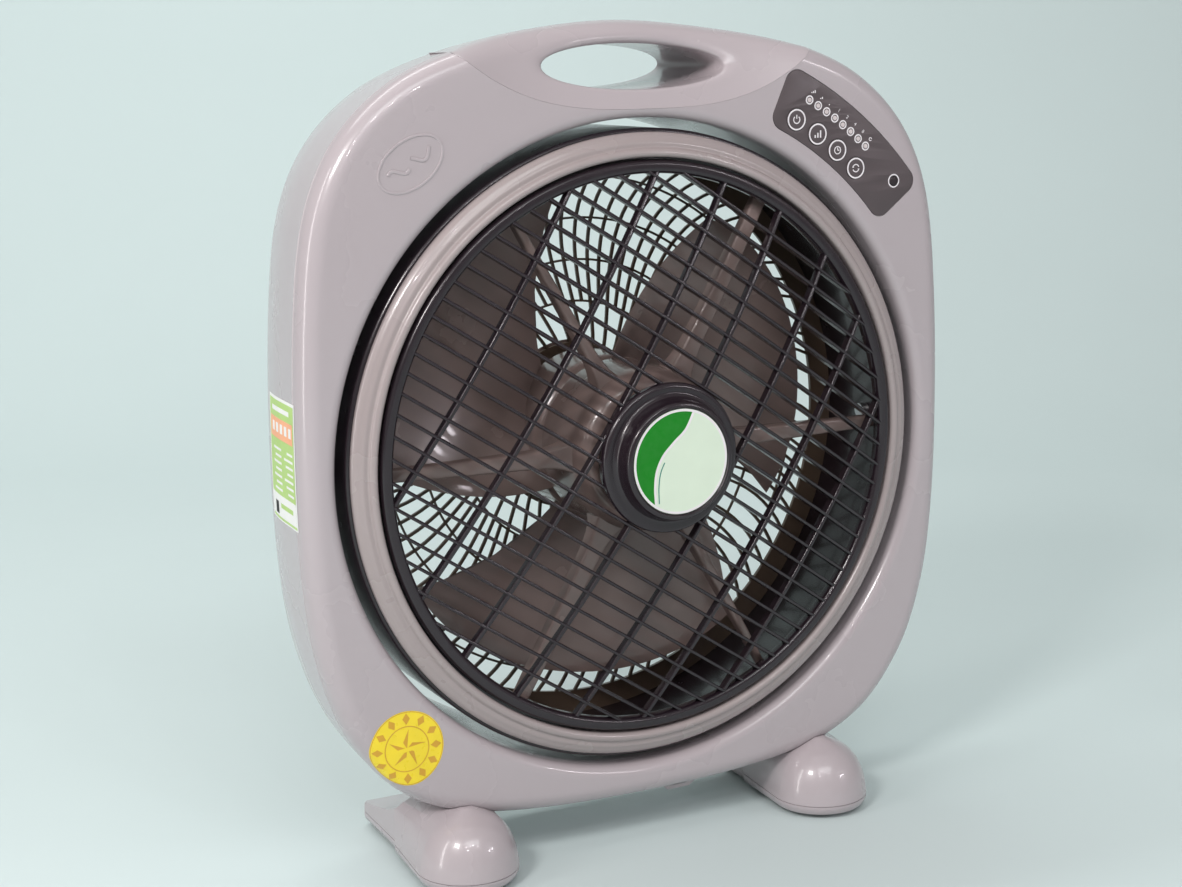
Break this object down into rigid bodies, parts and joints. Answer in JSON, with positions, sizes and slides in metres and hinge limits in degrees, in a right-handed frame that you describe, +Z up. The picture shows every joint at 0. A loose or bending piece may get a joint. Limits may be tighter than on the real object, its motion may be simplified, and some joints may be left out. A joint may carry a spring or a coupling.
{
  "type": "box fan",
  "caption": "Free-standing box fan: rounded square frame on two feet, a round drum that tilts in it, wide blades and a turning slatted louver.",
  "frame": {"origin": "on the floor, under the middle of the fan's bounding box", "axes": "+Z up, -Y out of the front of the fan, +X to the right seen from the front"},
  "size_m": [0.474, 0.1694, 0.5466],
  "materials": {
    "grey_plastic": "glossy warm mauve-grey moulded ABS",
    "panel_brown": "satin dark brown-grey printed film over plastic",
    "brown_plastic": "glossy dark brown-grey moulded plastic",
    "black_plastic": "glossy black moulded plastic",
    "rubber": "matt black rubber",
    "zinc_sheet": "zinc-plated pressed sheet",
    "steel": "plain and plated steel",
    "board_green": "green solder mask on glass-fibre board",
    "clear_plastic": "milky clear light guide",
    "smoked_plastic": "dark infrared-pass window",
    "label_pale_green": "printed paper label under clear film"
  },
  "bodies": {
    "frame": {"circuit_board": "board_green", "control_panel": "panel_brown", "cord_bushing": "black_plastic", "cord_clip": "grey_plastic", "front_left_pad": "rubber", "front_right_pad": "rubber", "front_shell": "grey_plastic", "handle_cover": "grey_plastic", "left_foot": "grey_plastic", "left_foot_screw": "steel", "left_tilt_bush": "black_plastic", "light_guide": "clear_plastic", "louver_switch": "black_plastic", "power_switch": "black_plastic", "rear_left_pad": "rubber", "rear_right_pad": "rubber", "rear_shell": "grey_plastic", "receiver_window": "smoked_plastic", "right_foot": "grey_plastic", "right_foot_screw": "steel", "right_tilt_bush": "black_plastic", "shell_screw_1": "steel", "shell_screw_2": "steel", "shell_screw_3": "steel", "shell_screw_4": "steel", "speed_switch": "black_plastic", "timer_switch": "black_plastic"},
    "drum": {"drum_barrel": "black_plastic", "front_ring": "grey_plastic", "front_spider": "brown_plastic", "louver_gear_motor": "zinc_sheet", "rear_guard": "brown_plastic", "motor_case": "zinc_sheet", "motor_end_plate": "zinc_sheet", "motor_stator": "steel", "motor_cover": "brown_plastic", "left_tilt_pin": "steel", "right_tilt_pin": "steel"},
    "impeller": {"impeller": "brown_plastic", "motor_shaft": "steel", "motor_rotor": "steel", "impeller_nut": "black_plastic"},
    "louver": {"louver_grille": "black_plastic", "louver_cap": "black_plastic", "cap_label": "label_pale_green", "louver_axle": "steel"},
    "power_key": {"power_button": "panel_brown"},
    "speed_key": {"speed_button": "panel_brown"},
    "timer_key": {"timer_button": "panel_brown"},
    "louver_key": {"louver_button": "panel_brown"}
  },
  "joints": [
    {"name": "drum_tilt", "type": "hinge", "parent": "frame", "child": "drum", "pos_m": [0, 0.0087, 0.271], "axis": [1, 0, 0], "range_deg": [-30, 30]},
    {"name": "impeller_spin", "type": "hinge", "parent": "drum", "child": "impeller", "pos_m": [0, 0.0187, 0.271], "axis": [0, 1, 0], "continuous": true},
    {"name": "louver_turn", "type": "hinge", "parent": "drum", "child": "louver", "pos_m": [0, -0.0413, 0.271], "axis": [0, 1, 0], "continuous": true},
    {"name": "power_press", "type": "slide", "parent": "frame", "child": "power_key", "axis": [0, 1, 0], "range_m": [0, 0.0008], "stiffness_N_per_m": 600, "springref_m": -0.0008},
    {"name": "speed_press", "type": "slide", "parent": "frame", "child": "speed_key", "axis": [0, 1, 0], "range_m": [0, 0.0008], "stiffness_N_per_m": 600, "springref_m": -0.0008},
    {"name": "timer_press", "type": "slide", "parent": "frame", "child": "timer_key", "axis": [0, 1, 0], "range_m": [0, 0.0008], "stiffness_N_per_m": 600, "springref_m": -0.0008},
    {"name": "louver_press", "type": "slide", "parent": "frame", "child": "louver_key", "axis": [0, 1, 0], "range_m": [0, 0.0008], "stiffness_N_per_m": 600, "springref_m": -0.0008}
  ]
}
